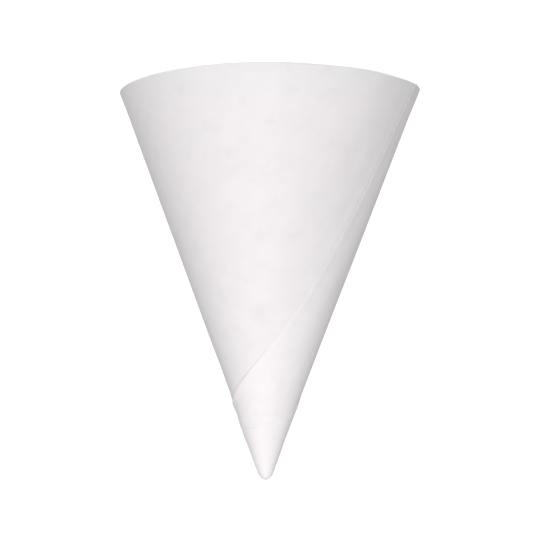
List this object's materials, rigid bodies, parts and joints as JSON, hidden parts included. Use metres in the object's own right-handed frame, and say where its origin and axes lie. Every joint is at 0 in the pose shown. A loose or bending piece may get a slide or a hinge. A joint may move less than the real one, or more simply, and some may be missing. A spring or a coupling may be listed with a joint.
{
  "type": "cone paper cup",
  "caption": "Plain white paper cone cup rolled from one sheet, with a diagonal glued lap, a thin cut rim and a closed rounded point.",
  "frame": {"origin": "centre of the mouth, in the plane of the rim that the cup stands on", "axes": "+Z along the cup's axis from the mouth to the point, so the cup stands mouth down; -Y is the side the picture shows, turned over"},
  "size_m": [0.07, 0.0698, 0.091],
  "materials": {
    "paper": "matte bleached cup paper, uncoated to the eye"
  },
  "bodies": {
    "root": {"cone_cup": "paper"}
  },
  "joints": []
}
